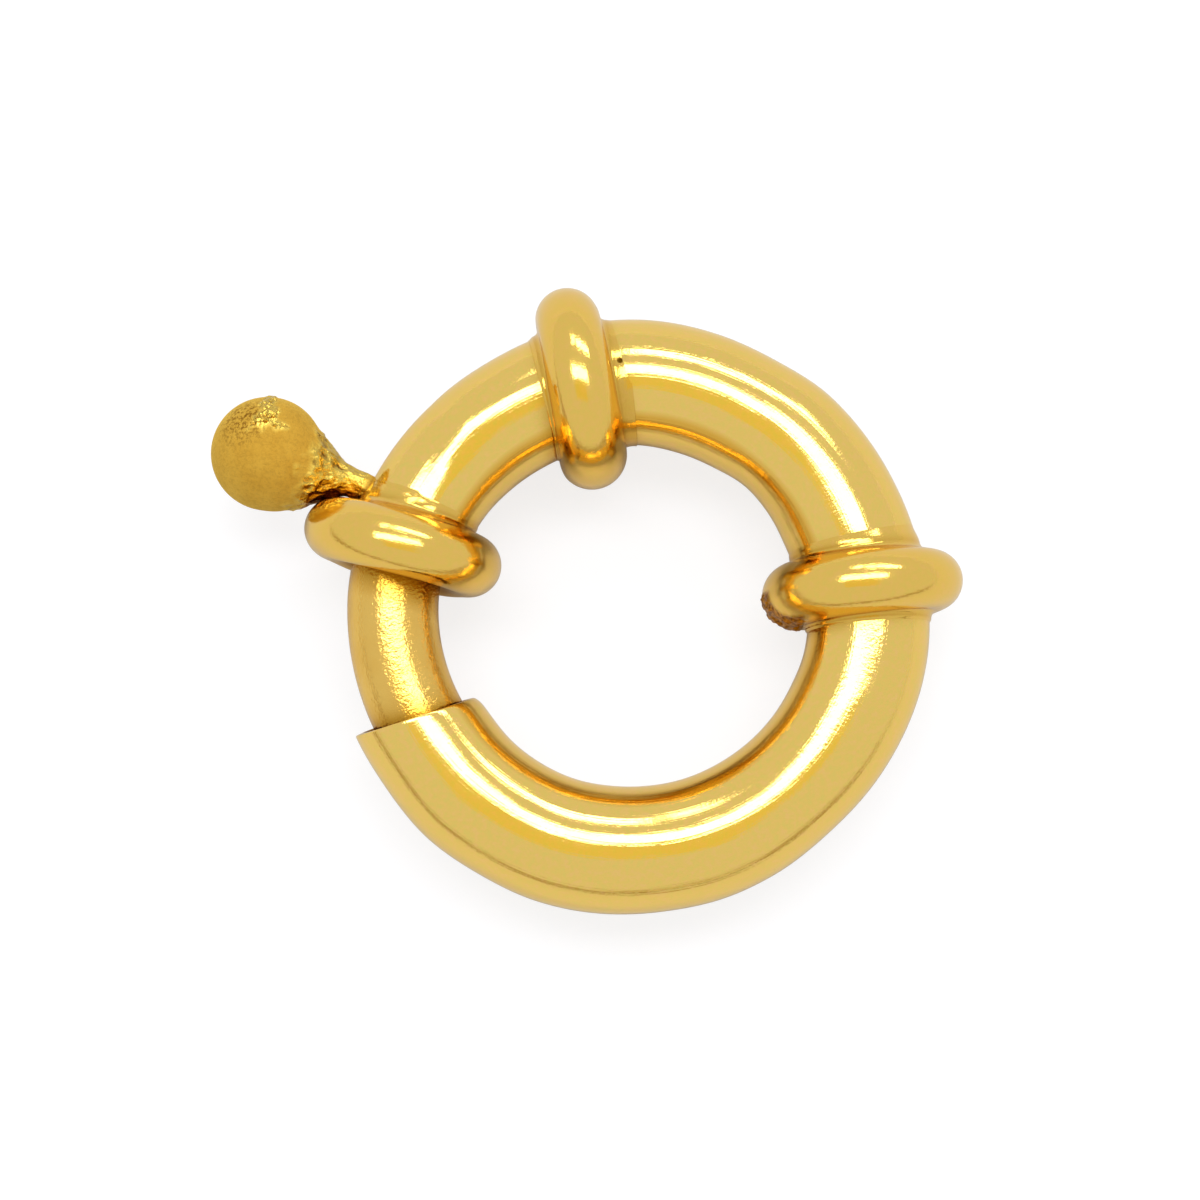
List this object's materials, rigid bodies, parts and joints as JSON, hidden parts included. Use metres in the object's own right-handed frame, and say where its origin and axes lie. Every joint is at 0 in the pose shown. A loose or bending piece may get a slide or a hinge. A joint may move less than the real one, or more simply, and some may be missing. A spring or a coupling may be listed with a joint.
{
  "type": "spring ring clasp",
  "caption": "Round hollow ring clasp with three beaded collars and a sprung bolt that a ball trigger slides back to open the gate.",
  "frame": {"origin": "the ring's centre, on its axis and in its middle plane", "axes": "+Z along the ring's axis, up as it lies on its collars; +X from the gate's side to the side collar; +Y towards the top collar"},
  "size_m": [0.0228, 0.019, 0.006],
  "materials": {
    "polished_gold": "yellow gold alloy, polished",
    "satin_gold": "yellow gold alloy, drawn and left satin",
    "cast_gold": "yellow gold alloy, as cast, matt with rough patches",
    "spring_steel": "drawn spring wire"
  },
  "bodies": {
    "ring": {"ring_tube": "polished_gold", "gate_collar": "polished_gold", "top_collar": "polished_gold", "side_collar": "polished_gold", "spring": "spring_steel", "spring_stop": "satin_gold"},
    "bolt": {"bolt": "satin_gold", "trigger_knob": "cast_gold"}
  },
  "joints": [
    {"name": "bolt_slide", "type": "hinge", "parent": "ring", "child": "bolt", "pos_m": [0, 0, 0], "axis": [0, 0, -1], "range_deg": [0, 38], "stiffness_Nm_per_rad": 0.012, "springref_deg": -34.38, "deforming": ["spring"]}
  ]
}
